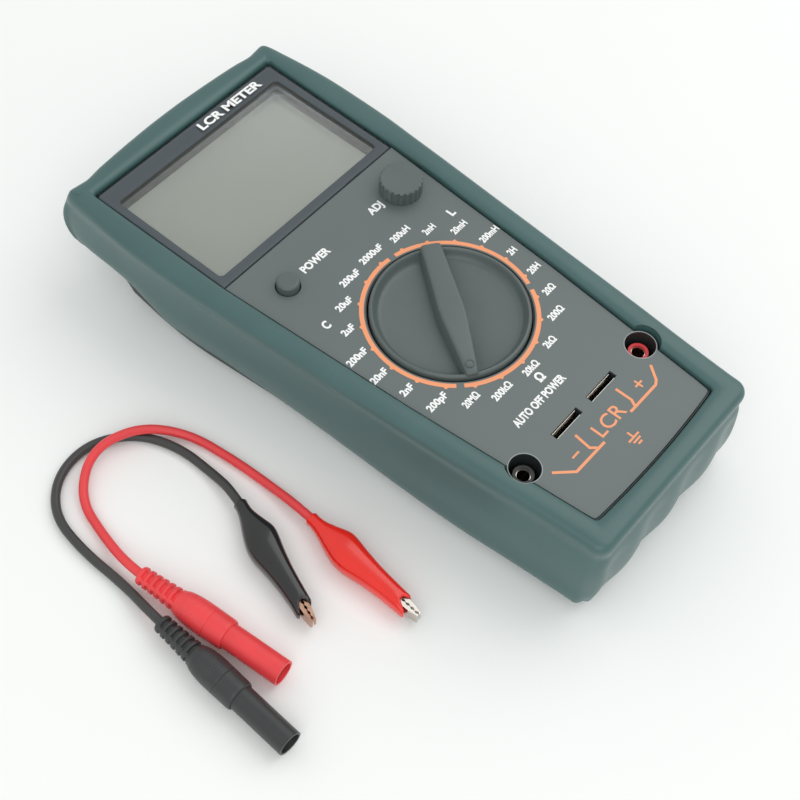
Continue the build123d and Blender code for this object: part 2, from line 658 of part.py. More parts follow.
def pivot_pin():
    pin = Pos(PIVOT_U, 0, 0) * Cylinder(0.75, 4.8)
    for z in (-2.5, 2.5):
        pin += Pos(PIVOT_U, 0, z) * Cylinder(1.2, 0.3)
    return pin


def clip_spring():
    """Torsion spring round the pivot, its two legs spreading the handles."""
    coil = Pos(PIVOT_U, 0, 0) * (Cylinder(1.3, 1.8) - Cylinder(0.85, 1.8))
    legs = []
    for side in (-1, 1):
        leg = Rot(0, 0, 180 - side * 14) * Pos(3.2, -side * 1.0, side * 0.6) * Box(5.8, 0.4, 0.5)
        legs.append(Pos(PIVOT_U, 0, 0) * leg)
    return coil + legs[0] + legs[1]


# Where each lead lies: the plug's cable end and heading, the cable's own corners, and the clip's
# neck and heading.
RED = {
    "plug": ((-116.6, 4.0, PLUG_Z), (0.0865, -0.9963)),
    "clip": ((-68.7, -20.7, CLIP_Z), (-0.0837, -0.9965)),
    "route": [(-116.99, 8.5, PLUG_Z), (-113.98, 22.87, 1.5), (-109.63, 38.17, 1.5),
              (-96.48, 46.27, 5.3), (-80.85, 41.7, 5.3), (-70.56, 29.91, 1.5), (-68.22, 12.7, 1.5),
              (-67.47, -1.15, 1.5)],
}
BLACK = {
    "plug": ((-123.7, -11.4, PLUG_Z), (-0.0492, -0.9988)),
    "clip": ((-79.2, -0.9, CLIP_Z), (-0.328, -0.9447)),
    "route": [(-123.48, -6.9, PLUG_Z), (-121.26, 6.91, 1.5), (-121.47, 23.96, 1.5),
              (-118.85, 39.67, 1.5), (-108.33, 49.41, 1.5), (-93.62, 50.57, 1.5),
              (-81.38, 41.73, 1.5), (-76.17, 28.23, 1.5), (-76.12, 14.39, 1.5)],
}
CUFF_HOLD = 5.0          # cable inside the plug's strain relief
NECK_HOLD = 8.5          # cable inside the clip's boot
NECK_RUN = 4.5           # straight run of cable behind the boot


def lead_route(lead):
    (px, py, pz), (pdx, pdy) = lead["plug"]
    (cx, cy, cz), (cdx, cdy) = lead["clip"]
    start = (px + CUFF_HOLD * pdx, py + CUFF_HOLD * pdy, pz)
    before_neck = (cx - NECK_RUN * cdx, cy - NECK_RUN * cdy, cz)
    end = (cx + NECK_HOLD * cdx, cy + NECK_HOLD * cdy, cz)
    return [start] + lead["route"] + [before_neck, end]


def make_lead(colour, lead):
    plug_place = along(*lead["plug"])
    clip_place = along(*lead["clip"])
    save(f"{colour}_plug_grip", plug_place * plug_grip())
    save(f"{colour}_plug_shroud", plug_place * plug_shroud())
    save(f"{colour}_plug_pin", plug_place * plug_pin())
    save(f"{colour}_plug_cage", plug_place * plug_cage())
    save(f"{colour}_cable", cable_tube(lead_route(lead), CABLE_D, f"{colour} cable"))
    save(f"{colour}_clip_boot", clip_place * clip_boot())
    save(f"{colour}_fixed_jaw", clip_place * fixed_jaw())
    save(f"{colour}_moving_jaw", clip_place * moving_jaw())
    save(f"{colour}_pivot_pin", clip_place * pivot_pin())
    save(f"{colour}_clip_spring", clip_place * clip_spring())


# ---------------------------------------------------------------- write every sub-part
METER = [holster, tilt_stand, stand_pin, rear_case, battery_cover, front_case, faceplate,
         display_lens, case_screws, hatch_screw, lcd_frame, lcd_glass, zebra_strip,
         main_board, board_screws, board_chips, trimmers, fuse, fuse_clips, battery, battery_snap,
         battery_pad, battery_wires, range_knob, range_rotor, detent_balls, detent_springs,
         rotor_contacts, adj_knob, adj_shaft, adj_pot, power_button, power_plunger, power_switch, power_spring,
         jack_contacts, component_sockets, socket_blades]

for make in METER:
    save(make.__name__, make())
save("red_jack", jack_insert(1))
save("black_jack", jack_insert(-1))
make_lead("red", RED)
make_lead("black", BLACK)
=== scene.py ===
from math import cos, exp, hypot, pi, radians, sin

import bmesh
import bpy
from mathutils import Matrix, Vector


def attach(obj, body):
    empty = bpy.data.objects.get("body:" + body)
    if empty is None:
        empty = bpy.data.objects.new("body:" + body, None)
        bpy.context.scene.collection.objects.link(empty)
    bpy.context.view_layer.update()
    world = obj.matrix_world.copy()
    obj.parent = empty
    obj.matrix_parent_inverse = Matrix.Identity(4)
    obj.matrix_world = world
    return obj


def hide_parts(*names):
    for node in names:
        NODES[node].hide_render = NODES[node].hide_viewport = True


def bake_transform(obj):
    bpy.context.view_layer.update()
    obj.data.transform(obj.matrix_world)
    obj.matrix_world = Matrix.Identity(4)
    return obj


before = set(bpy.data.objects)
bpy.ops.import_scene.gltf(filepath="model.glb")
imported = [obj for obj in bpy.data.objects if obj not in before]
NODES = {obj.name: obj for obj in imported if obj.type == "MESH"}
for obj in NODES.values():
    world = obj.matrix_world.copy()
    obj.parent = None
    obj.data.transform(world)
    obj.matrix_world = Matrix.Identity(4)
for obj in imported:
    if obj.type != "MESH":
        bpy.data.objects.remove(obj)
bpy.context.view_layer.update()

MM = 0.001
scene = bpy.context.scene
DIAL = (0.0, -17.0)


# ---------------------------------------------------------------- camera
def camera():
    az, el, roll = radians(-54.68), radians(56.65), radians(5.42)
    back = Vector((sin(az) * cos(el), -cos(az) * cos(el), sin(el)))
    right = Vector((cos(az), sin(az), 0.0))
    up = back.cross(right)
    x_axis = cos(roll) * right + sin(roll) * up
    y_axis = -sin(roll) * right + cos(roll) * up
    data = bpy.data.cameras.new("view")
    data.sensor_width = 36.0
    data.lens = 66.6
    data.clip_start = 0.01
    eye = bpy.data.objects.new("view", data)
    scene.collection.objects.link(eye)
    turn = Matrix((x_axis, y_axis, back)).transposed().to_4x4()
    eye.matrix_world = Matrix.Translation((-0.2321, -0.1656, 0.4043)) @ turn
    scene.camera = eye


camera()
scene.view_settings.view_transform = "Standard"


# ---------------------------------------------------------------- materials
def srgb(r, g, b):
    def lin(v):
        v /= 255.0
        return v / 12.92 if v <= 0.04045 else ((v + 0.055) / 1.055) ** 2.4
    return (lin(r), lin(g), lin(b), 1.0)


def material(name, colour, rough=0.5, spread=0.08, grain=900.0, bump=0.15, depth=0.00004,
             variation=0.08, patch=60.0, **sockets):
    """Moulded surface: patchy colour, uneven gloss and a fine grain in the surface itself."""
    mat = bpy.data.materials.new(name)
    mat.use_nodes = True
    tree = mat.node_tree
    tree.nodes.clear()
    new, link = tree.nodes.new, tree.links.new
    out = new("ShaderNodeOutputMaterial")
    shader = new("ShaderNodeBsdfPrincipled")
    link(shader.outputs[0], out.inputs[0])
    place = new("ShaderNodeTexCoord")
    broad = new("ShaderNodeTexNoise")
    broad.inputs["Scale"].default_value = patch
    broad.inputs["Detail"].default_value = 4.0
    link(place.outputs["Object"], broad.inputs["Vector"])
    ramp = new("ShaderNodeValToRGB")
    low = tuple(c * (1 - variation) for c in colour[:3]) + (1.0,)
    high = tuple(min(c * (1 + variation), 1.0) for c in colour[:3]) + (1.0,)
    ramp.color_ramp.elements[0].position = 0.3
    ramp.color_ramp.elements[1].position = 0.7
    ramp.color_ramp.elements[0].color = low
    ramp.color_ramp.elements[1].color = high
    link(broad.outputs["Fac"], ramp.inputs["Fac"])
    link(ramp.outputs["Color"], shader.inputs["Base Color"])
    gloss = new("ShaderNodeMapRange")
    gloss.inputs["To Min"].default_value = max(rough - spread, 0.02)
    gloss.inputs["To Max"].default_value = min(rough + spread, 1.0)
    link(broad.outputs["Fac"], gloss.inputs["Value"])
    link(gloss.outputs["Result"], shader.inputs["Roughness"])
    if bump:
        fine = new("ShaderNodeTexNoise")
        fine.inputs["Scale"].default_value = grain
        fine.inputs["Detail"].default_value = 3.0
        link(place.outputs["Object"], fine.inputs["Vector"])
        relief = new("ShaderNodeBump")
        relief.inputs["Strength"].default_value = bump
        relief.inputs["Distance"].default_value = depth
        link(fine.outputs["Fac"], relief.inputs["Height"])
        link(relief.outputs["Normal"], shader.inputs["Normal"])
    for key, value in sockets.items():
        shader.inputs[key.replace("_", " ")].default_value = value
    return mat


def clear_plastic(name):
    """Clear window: see-through straight on, glossy at a glance, with faint haze and scratches."""
    mat = bpy.data.materials.new(name)
    mat.use_nodes = True
    tree = mat.node_tree
    tree.nodes.clear()
    new, link = tree.nodes.new, tree.links.new
    out = new("ShaderNodeOutputMaterial")
    mix = new("ShaderNodeMixShader")
    through = new("ShaderNodeBsdfTransparent")
    through.inputs["Color"].default_value = (0.97, 0.98, 0.975, 1)
    shine = new("ShaderNodeBsdfGlossy")
    shine.inputs["Color"].default_value = (1, 1, 1, 1)
    fresnel = new("ShaderNodeFresnel")
    fresnel.inputs["IOR"].default_value = 1.42
    place = new("ShaderNodeTexCoord")
    haze = new("ShaderNodeTexNoise")
    haze.inputs["Scale"].default_value = 140.0
    haze.inputs["Detail"].default_value = 5.0
    spread = new("ShaderNodeMapRange")
    spread.inputs["To Min"].default_value = 0.02
    spread.inputs["To Max"].default_value = 0.09
    link(place.outputs["Object"], haze.inputs["Vector"])
    link(haze.outputs["Fac"], spread.inputs["Value"])
    link(spread.outputs["Result"], shine.inputs["Roughness"])
    link(fresnel.outputs[0], mix.inputs[0])
    link(through.outputs[0], mix.inputs[1])
    link(shine.outputs[0], mix.inputs[2])
    link(mix.outputs[0], out.inputs[0])
    return mat


M = {
    "holster": material("holster_rubber", srgb(64, 97, 96), 0.36, 0.06, 1400, 0.25, 0.00003,
                        0.05, 45, Specular_IOR_Level=0.6),
    "stand": material("stand_plastic", srgb(52, 55, 56), 0.5, 0.08, 1300, 0.35, 0.00005),
    "steel": material("steel", srgb(170, 172, 174), 0.28, 0.08, 1800, 0.1, 0.00002,
                      0.05, 200, Metallic=1.0),
    "case": material("case_plastic", srgb(48, 52, 53), 0.45, 0.06, 1500, 0.3, 0.00004),
    "panel": material("panel_face", srgb(98, 108, 107), 0.36, 0.05, 2200, 0.2, 0.000025,
                      0.03, 30),
    "inner": material("inner_plastic", srgb(36, 38, 40), 0.55, 0.08, 1200, 0.2),
    "mask": material("lens_mask", srgb(92, 102, 110), 0.35, 0.05, 1500, 0.05, 0.00001, 0.03, 40),
    "bezel": material("bezel_plastic", srgb(58, 62, 58), 0.5, 0.06, 1500, 0.2),
    "lcd": material("display_glass", srgb(180, 183, 174), 0.35, 0.05, 3000, 0.05, 0.00001,
                    0.02, 30),
    "zebra": material("soft_black", srgb(40, 40, 42), 0.7, 0.1, 900, 0.3),
    "board": material("board", srgb(38, 92, 58), 0.4, 0.08, 700, 0.25, 0.00004, 0.18, 120),
    "chip": material("chip", srgb(34, 34, 36), 0.45, 0.08, 1600, 0.3),
    "trimmer": material("trimmer", srgb(52, 84, 150), 0.4, 0.08, 1200, 0.15),
    "fuse": material("fuse_glass", srgb(214, 218, 214), 0.12, 0.05, 1200, 0.05, Alpha=0.55),
    "brass": material("contact_brass", srgb(205, 176, 110), 0.3, 0.08, 1500, 0.1, 0.00002,
                      0.08, 200, Metallic=1.0),
    "can": material("battery_can", srgb(60, 64, 70), 0.3, 0.06, 900, 0.08, 0.00002, 0.05, 60,
                    Metallic=0.6),
    "wire": material("wire_insulation", srgb(50, 50, 54), 0.45, 0.08, 1200, 0.15),
    "knob": material("knob_plastic", srgb(86, 97, 96), 0.34, 0.06, 1800, 0.25, 0.000035,
                     0.04, 50),
    "adj": material("adj_knob_plastic", srgb(88, 98, 98), 0.38, 0.06, 1800, 0.2, 0.00003,
                    0.04, 90),
    "button": material("button_plastic", srgb(88, 96, 96), 0.38, 0.06, 1800, 0.15, 0.00003,
                       0.04, 90),
    "red_plastic": material("red_plastic", srgb(236, 66, 70), 0.4, 0.06, 1500, 0.15, 0.00003,
                            0.05, 120),
    "black_plastic": material("black_plastic", srgb(52, 53, 54), 0.4, 0.06, 1500, 0.2, 0.00003,
                              0.06, 120),
    "red_jacket": material("red_cable_jacket", srgb(232, 66, 70), 0.4, 0.06, 1400, 0.15,
                           0.00003, 0.05, 90),
    "black_jacket": material("black_cable_jacket", srgb(60, 61, 60), 0.42, 0.06, 1400, 0.15,
                             0.00003, 0.06, 90),
    "red_boot": material("red_boot", srgb(240, 34, 18), 0.2, 0.06, 500, 0.12, 0.00005, 0.05,
                         90, Coat_Weight=0.4),
    "black_boot": material("black_boot", srgb(26, 26, 27), 0.22, 0.06, 500, 0.12, 0.00005, 0.08,
                           90, Coat_Weight=0.4),
    "nickel": material("nickel", srgb(205, 200, 192), 0.22, 0.08, 1200, 0.12, 0.00002,
                       0.08, 300, Metallic=1.0),
    "copper": material("plated_jaw", srgb(190, 150, 128), 0.25, 0.08, 1200, 0.12, 0.00002,
                       0.2, 300, Metallic=1.0),
    "white_ink": material("white_ink", srgb(246, 247, 246), 0.45, 0.05, 1500, 0.05, 0.00001, 0.02),
    "orange_ink": material("orange_ink", srgb(244, 158, 112), 0.45, 0.05, 1500, 0.05, 0.00001,
                           0.03),
    # Jack rings: case plastic whose light grey colour is a painted highlight on the rims
    "ring_grey": material("ring_grey", srgb(158, 166, 166), 0.35, 0.05, 1500, 0.1),
    "lens": clear_plastic("lens"),
}

CAD_FINISH = {
    "case": ["rear_case", "front_case", "battery_cover"],
    "stand": ["tilt_stand"],
    "steel": ["stand_pin", "case_screws", "hatch_screw", "board_screws", "detent_balls",
              "detent_springs", "power_spring"],
        "inner": ["lcd_frame", "range_rotor", "power_switch", "power_plunger", "component_sockets",
              "adj_shaft", "battery_snap"],
    "lcd": ["lcd_glass"],
    "zebra": ["zebra_strip", "battery_pad"],
    "board": ["main_board"],
    "chip": ["board_chips"],
    "trimmer": ["trimmers", "adj_pot"],
    "fuse": ["fuse"],
    "brass": ["fuse_clips", "rotor_contacts"],
    "can": ["battery"],
    "wire": ["battery_wires"],
    "adj": ["adj_knob"],
    "button": ["power_button"],
    "red_plastic": ["red_jack", "red_plug_shroud"],
    "black_plastic": ["black_jack", "black_plug_shroud"],
    "nickel": ["jack_contacts", "socket_blades", "red_plug_pin", "black_plug_pin",
               "red_plug_cage", "black_plug_cage", "red_fixed_jaw", "red_moving_jaw",
               "red_pivot_pin", "black_pivot_pin"],
    "copper": ["black_fixed_jaw", "black_moving_jaw"],
}
for finish, names in CAD_FINISH.items():
    for name in names:
        piece = NODES[name]
        if not piece.material_slots:
            piece.data.materials.append(M[finish])
        for s in piece.material_slots:
            s.material = M[finish]


# ---------------------------------------------------------------- mesh helpers
def table(*points):
    """Piecewise-linear function through (position, value) points."""
    def at(v):
        if v <= points[0][0]:
            return points[0][1]
        for (a, fa), (b, fb) in zip(points, points[1:]):
            if v <= b:
                return fa + (fb - fa) * (v - a) / (b - a)
        return points[-1][1]
    return at


def curve_table(*points):
    """Smooth function through (position, value) points."""
    def at(v):
        if v <= points[0][0]:
            return points[0][1]
        for i in range(len(points) - 1):
            (a, fa), (b, fb) = points[i], points[i + 1]
            if v <= b:
                pa, pfa = points[max(i - 1, 0)]
                nb, nfb = points[min(i + 2, len(points) - 1)]
                slope_a = (fb - pfa) / (b - pa)
                slope_b = (nfb - fa) / (nb - a)
                t, w = (v - a) / (b - a), b - a
                return (fa * (2 * t ** 3 - 3 * t ** 2 + 1) + fb * (3 * t ** 2 - 2 * t ** 3)
                        + slope_a * w * (t ** 3 - 2 * t ** 2 + t)
                        + slope_b * w * (t ** 3 - t ** 2))
        return points[-1][1]
    return at


def ramp01(v, a, b):
    t = min(max((v - a) / (b - a), 0.0), 1.0)
    return t * t * (3 - 2 * t)


def add_piece(name, verts, faces, finish, body, slot=None, smooth=40, ride=True):
    """A mesh piece from points in millimetres, with edges sharper than `smooth` degrees kept."""
    mesh = bpy.data.meshes.new(name)
    mesh.from_pydata([(x * MM, y * MM, z * MM) for x, y, z in verts], [], faces)
    work = bmesh.new()
    work.from_mesh(mesh)
    bmesh.ops.remove_doubles(work, verts=work.verts, dist=1e-7)
    bmesh.ops.recalc_face_normals(work, faces=work.faces)
    work.to_mesh(mesh)
    work.free()
    mesh.materials.append(M[finish])
    piece = bpy.data.objects.new(name, mesh)
    scene.collection.objects.link(piece)
    finish_shading(piece, smooth)
    if ride:
        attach(piece, body)
    return piece


def finish_shading(piece, angle):
    mesh = piece.data
    mesh.polygons.foreach_set("use_smooth", [True] * len(mesh.polygons))
    mesh.set_sharp_from_angle(angle=radians(angle))


def loft(rings, cap_start=True, cap_end=True):
    """Points and faces of a skin over closed rings that have the same number of points."""
    n = len(rings[0])
    verts = [p for ring in rings for p in ring]
    faces = []
    for r in range(len(rings) - 1):
        for i in range(n):
            j = (i + 1) % n
            faces.append((r * n + i, r * n + j, (r + 1) * n + j, (r + 1) * n + i))
    if cap_start:
        faces.append(tuple(reversed(range(n))))
    if cap_end:
        last = (len(rings) - 1) * n
        faces.append(tuple(range(last, last + n)))
    return verts, faces


def spin(profile, cx=0.0, cy=0.0, steps=96, closed=False, cap_start=True, cap_end=True):
    """Rings of a turned shape about a vertical axis, from (radius, z) points."""
    rings = []
    for r, z in profile:
        rings.append([(cx + r * cos(2 * pi * i / steps), cy + r * sin(2 * pi * i / steps), z)
                      for i in range(steps)])
    if closed:
        rings.append(rings[0])
        cap_start = cap_end = False
    return loft(rings, cap_start, cap_end)


def join(parts):
    verts, faces = [], []
    for v, f in parts:
        base = len(verts)
        verts += v
        faces += [tuple(i + base for i in face) for face in f]
    return verts, faces


def placed(part, origin, direction):
    """A part drawn along local +X, put at a point and turned to a horizontal direction."""
    (ox, oy, oz), (dx, dy) = origin, direction
    verts, faces = part
    return [(ox + x * dx - y * dy, oy + x * dy + y * dx, oz + z) for x, y, z in verts], faces


def cut(piece, cutters, smooth=40):
    """Subtracts closed shapes from a piece for good."""
    tools = []
    for i, (verts, faces) in enumerate(cutters):
        mesh = bpy.data.meshes.new("cutter")
        mesh.from_pydata([(x * MM, y * MM, z * MM) for x, y, z in verts], [], faces)
        work = bmesh.new()
        work.from_mesh(mesh)
        bmesh.ops.recalc_face_normals(work, faces=work.faces)
        work.to_mesh(mesh)
        work.free()
        tool = bpy.data.objects.new(f"cutter_{i}", mesh)
        scene.collection.objects.link(tool)
        mod = piece.modifiers.new("cut", "BOOLEAN")
        mod.operation = "DIFFERENCE"
        mod.solver = "EXACT"
        mod.object = tool
        tools.append(tool)
    graph = bpy.context.evaluated_depsgraph_get()
    result = bpy.data.meshes.new_from_object(piece.evaluated_get(graph))
    piece.modifiers.clear()
    piece.data = result
    for tool in tools:
        bpy.data.objects.remove(tool)
    finish_shading(piece, smooth)


def block(x0, x1, y0, y1, z0, z1):
    ring = [(x0, y0), (x1, y0), (x1, y1), (x0, y1)]
    return loft([[(x, y, z0) for x, y in ring], [(x, y, z1) for x, y in ring]])


# ---------------------------------------------------------------- test leads' cables
LEADS = {
    "red": {
        "plug": ((-116.6, 4.0, 5.0), (0.0865, -0.9963)),
        "clip": ((-68.7, -20.7, 4.3), (-0.0837, -0.9965)),
        "route": [(-116.99, 8.5, 5.0), (-113.98, 22.87, 1.5), (-109.63, 38.17, 1.5),
                  (-96.48, 46.27, 5.3), (-80.85, 41.7, 5.3), (-70.56, 29.91, 1.5),
                  (-68.22, 12.7, 1.5), (-67.47, -1.15, 1.5)],
        "length": 0.143,
    },
    "black": {
        "plug": ((-123.7, -11.4, 5.0), (-0.0492, -0.9988)),
        "clip": ((-79.2, -0.9, 4.3), (-0.328, -0.9447)),
        "route": [(-123.48, -6.9, 5.0), (-121.26, 6.91, 1.5), (-121.47, 23.96, 1.5),
                  (-118.85, 39.67, 1.5), (-108.33, 49.41, 1.5), (-93.62, 50.57, 1.5),
                  (-81.38, 41.73, 1.5), (-76.17, 28.23, 1.5), (-76.12, 14.39, 1.5)],
        "length": 0.149,
    },
}


def reach(place, distance):
    (x, y, z), (dx, dy) = place
    return (x + dx * distance, y + dy * distance, z)


def make_cable(colour, lead):
    points = [reach(lead["plug"], 5.0)] + lead["route"]
    points += [reach(lead["clip"], -4.5), reach(lead["clip"], 8.5)]
    curve = bpy.data.curves.new(f"{colour}_cord", "CURVE")
    curve.dimensions = "3D"
    spline = curve.splines.new("NURBS")
    spline.points.add(len(points) - 1)
    for point, (x, y, z) in zip(spline.points, points):
        point.co = (x * MM, y * MM, z * MM, 1.0)
    spline.order_u = 3
    spline.use_endpoint_u = True
    spline.resolution_u = 12
    curve.bevel_depth = 0.0015
    curve.bevel_resolution = 6
    curve.use_fill_caps = True
    curve.materials.append(M[f"{colour}_jacket"])
    cable = bpy.data.objects.new(f"{colour}_cord", curve)
    scene.collection.objects.link(cable)
    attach(cable, f"{colour}_lead")
    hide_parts(f"{colour}_cable")
    return cable


# ---------------------------------------------------------------- clip boots
def rounded_ring(u, plus, minus, height, power=3.2, steps=48, shift=None):
    """Softly squared ring across local X; the two sides have their own half widths."""
    ring = []
    for i in range(steps):
        a = 2 * pi * i / steps
        c, s = cos(a), sin(a)
        y = (plus if c > 0 else minus) * (abs(c) ** (2 / power)) * (1 if c > 0 else -1)
        z = height * (abs(s) ** (2 / power)) * (1 if s > 0 else -1)
        ring.append((u + (shift(a) if shift else 0.0), y, z))
    return ring


def make_boot(colour, lead):
    plus = curve_table((0, 2.2), (2, 2.0), (5, 2.3), (9, 3.6), (13, 5.0), (16, 4.9), (21, 4.1),
                       (28, 3.3), (39, 2.9), (42, 2.8))
    minus = curve_table((0, 2.4), (2, 2.2), (6, 3.2), (11, 4.9), (16, 6.0), (20, 5.9), (25, 4.9),
                        (32, 3.9), (42, 3.2))
    tall = curve_table((0, 2.4), (2, 2.2), (6, 2.8), (13, 3.9), (18, 4.0), (28, 3.6), (42, 3.0))

    def mouth(a):
        notch = 2.6 * exp(-((abs(abs(a - pi) - pi / 2)) / 0.5) ** 2)
        return (0.6 - cos(a) * 1.1) - notch

    outer = [0, 0.5, 2, 4, 6, 8, 10, 12, 13.5, 15, 17, 19, 21, 24, 27, 30, 33, 36, 38.5]
    rings = []
    for u in outer:
        grow = -0.35 if u == 0 else 0.0
        rings.append(rounded_ring(u, plus(u) + grow, minus(u) + grow, tall(u) + grow,
                                  2.1 + 0.8 * ramp01(u, 2, 12)))
    rings.append(rounded_ring(40.4, plus(40), minus(40), tall(40), 2.9, shift=mouth))
    rings.append(rounded_ring(40.9, plus(41) - 0.3, minus(41) - 0.3, tall(41) - 0.3, 2.9,
                              shift=mouth))
    rings.append(rounded_ring(40.6, plus(41) - 0.75, minus(41) - 0.75, tall(41) - 0.7, 2.9,
                              shift=mouth))
    for u in (36, 28, 20, 14, 10):
        rings.append(rounded_ring(u, plus(u) - 0.8, minus(u) - 0.8, tall(u) - 0.8, 2.9))
    part = placed(loft(rings), *lead["clip"])
    boot = add_piece(f"{colour}_boot", *part, f"{colour}_boot", None, f"{colour}_boot",
                     smooth=60, ride=False)
    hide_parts(f"{colour}_clip_boot")
    (x, y, z), (dx, dy) = lead["clip"]

    def spot(u, v):
        return ((x + u * dx - v * dy) * MM, (y + u * dy + v * dx) * MM, z * MM)
    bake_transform(boot)
    return boot


def wire(points, radius, steps=10):
    """Round wire along points."""
    rings = []
    for i, p in enumerate(points):
        a = Vector(points[max(i - 1, 0)])
        b = Vector(points[min(i + 1, len(points) - 1)])
        t = (b - a).normalized()
        side = t.cross(Vector((0.0, 0.0, 1.0))).normalized()
        lift = side.cross(t)
        rings.append([tuple(Vector(p) + side * radius * cos(2 * pi * k / steps)
                            + lift * radius * sin(2 * pi * k / steps)) for k in range(steps)])
    return loft(rings)


def make_spring(colour, lead):
    """Torsion spring round the clip's pivot, with a leg under each handle."""
    pivot, coil_radius, half_height, wire_radius = 21.0, 1.06, 0.72, 0.19
    first, last = radians(-76.0), radians(76.0)
    sweep = 2 * pi * 4 - (last - first)
    points = [(15.6, -2.2, -half_height), (18.0, -1.75, -half_height)]
    steps = 72
    for i in range(steps + 1):
        a = first - sweep * i / steps
        points.append((pivot + coil_radius * cos(a), coil_radius * sin(a),
                       -half_height + 2 * half_height * i / steps))
    points += [(18.0, 1.75, half_height), (15.6, 2.2, half_height)]
    part = placed(wire(points, wire_radius), *lead["clip"])
    spring = add_piece(f"{colour}_spring", *part, "steel", None, None, 60, ride=False)
    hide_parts(f"{colour}_clip_spring")
    (x, y, z), (dx, dy) = lead["clip"]

    def spot(u, v):
        return ((x + u * dx - v * dy) * MM, (y + u * dy + v * dx) * MM, z * MM)
    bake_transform(spring)
    return spring


def make_grip(colour, lead):
    """Soft plug grip: ribbed strain relief, finely ringed shoulder and plain barrel."""
    radius = curve_table((0, 2.7), (0.5, 2.95), (5, 3.15), (14.6, 3.75), (16.2, 4.3), (18, 4.62),
                         (21, 4.88), (25, 4.98), (29, 4.92), (32.6, 4.8), (33.2, 4.5))
    strips = (50.0, 230.0)
    rings = []
    steps = 72
    s = 0.0
    while s < 33.21:
        ring = []
        for i in range(steps):
            a = 2 * pi * i / steps
            r = radius(s)
            if s < 15.2:
                groove = max(exp(-((s - 2.0 - 2.35 * k) / 0.52) ** 6) for k in range(6))
                side = min(abs((360 * i / steps - t + 180) % 360 - 180) for t in strips)
                r -= 0.95 * groove * ramp01(side, 8, 15)
            if 16.6 < s < 24.6:
                r += 0.09 * sin(2 * pi * s / 0.8) * ramp01(s, 16.6, 18) * (1 - ramp01(s, 23, 24.6))
            r -= 0.22 * exp(-((s - 26.3) / 0.16) ** 2)
            ring.append((s, -r * sin(a), r * cos(a)))
        rings.append(ring)
        s += 0.16 if s < 15.4 or 16.5 < s < 27.0 else 0.35
    for r, back in ((4.3, 0.0), (4.15, 0.1), (4.12, 1.5)):
        rings.append([(33.2 - back, -r * sin(2 * pi * i / steps), r * cos(2 * pi * i / steps))
                      for i in range(steps)])
    flipped = placed(loft(rings), *lead["plug"])
    grip = add_piece(f"{colour}_grip", *flipped, f"{colour}_plastic", f"{colour}_lead",
                     f"{colour}_plastic", 50)
    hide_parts(f"{colour}_plug_grip")
    return grip


for colour, lead in LEADS.items():
    cable = make_cable(colour, lead)
    boot = make_boot(colour, lead)
    on_it = [boot, make_grip(colour, lead), make_spring(colour, lead)]
    on_it += [NODES[f"{colour}_{n}"] for n in ("plug_shroud", "plug_pin", "plug_cage",
                                               "fixed_jaw", "moving_jaw", "pivot_pin")]


# ---------------------------------------------------------------- holster
SIDE = curve_table((-98.4, 38.3), (-91, 38.8), (-76, 39.9), (-59, 41.4), (-17, 44.6), (26, 47.8),
                   (37, 48.5), (49, 49.3), (63, 49.6), (76, 49.5), (86, 48.8), (97.5, 47.5))
END = curve_table((0, 106.2), (8, 106.1), (22, 105.4), (32, 104.6), (38, 103.7), (41, 104.0),
                  (44, 104.4))
PANEL_SIDE = table((-93.9, 29.6), (-29.0, 35.5), (40.8, 40.0), (96.6, 40.6))


def arc(cx, cy, r, a0, a1, n):
    return [(cx + r * cos(radians(a0 + (a1 - a0) * i / n)),
             cy + r * sin(radians(a0 + (a1 - a0) * i / n))) for i in range(n + 1)]


FRONT_N, SIDE_N, BACK_N = 36, 60, 26


def rim_half():
    """Right half of the lip's edge, from the middle of the jack end to the display end."""
    pts = [(33.6 * i / FRONT_N, -103.0) for i in range(FRONT_N)]
    pts += arc(33.7, -98.3, 4.7, -90, 0, 8)
    pts += [(SIDE(-98.0 + 195.0 * i / SIDE_N), -98.0 + 195.0 * i / SIDE_N)
            for i in range(1, SIDE_N)]
    pts += [(47.45, 97.6), (47.3, 99.2), (47.1, 100.6), (46.85, 101.9), (46.4, 103.2),
            (45.7, 104.0), (44.8, 104.4)]
    pts += [(43.8 * (1 - i / BACK_N), END(43.8 * (1 - i / BACK_N))) for i in range(BACK_N + 1)]
    return pts


def panel_half(grow):
    """The same number of points round the opening in the lip."""
    r = 1.4
    x0, y0 = PANEL_SIDE(-93.9) + grow, -93.9 - grow
    x1, y1 = PANEL_SIDE(96.6) + grow, 96.6 + grow
    pts = []
    for i in range(FRONT_N):
        x = (x0 - r) * i / FRONT_N
        pts.append((x, y0 - 1.2 * (1 - (x / x0) ** 2)))
    pts += arc(x0 - r, y0 + r, r, -90, 0, 8)
    pts += [(PANEL_SIDE(y) + grow, y) for y in
            (y0 + r + (y1 - y0 - 2 * r) * i / SIDE_N for i in range(1, SIDE_N))]
    pts += arc(x1 - r, y1 - r, r, 0, 90, 6)
    pts += [((x1 - r) * (1 - i / BACK_N) * 0.995, y1) for i in range(BACK_N + 1)]
    return pts


def mirrored(half):
    """Whole closed loop from its right half; the first and last points lie on the middle."""
    return half + [(-x, y) for x, y in reversed(half[1:-1])]


def normals_of(loop):
    result = []
    for i, _ in enumerate(loop):
        (ax, ay), (bx, by) = loop[i - 1], loop[(i + 1) % len(loop)]
        tx, ty = bx - ax, by - ay
        size = hypot(tx, ty) or 1.0
        result.append((ty / size, -tx / size))
    return result


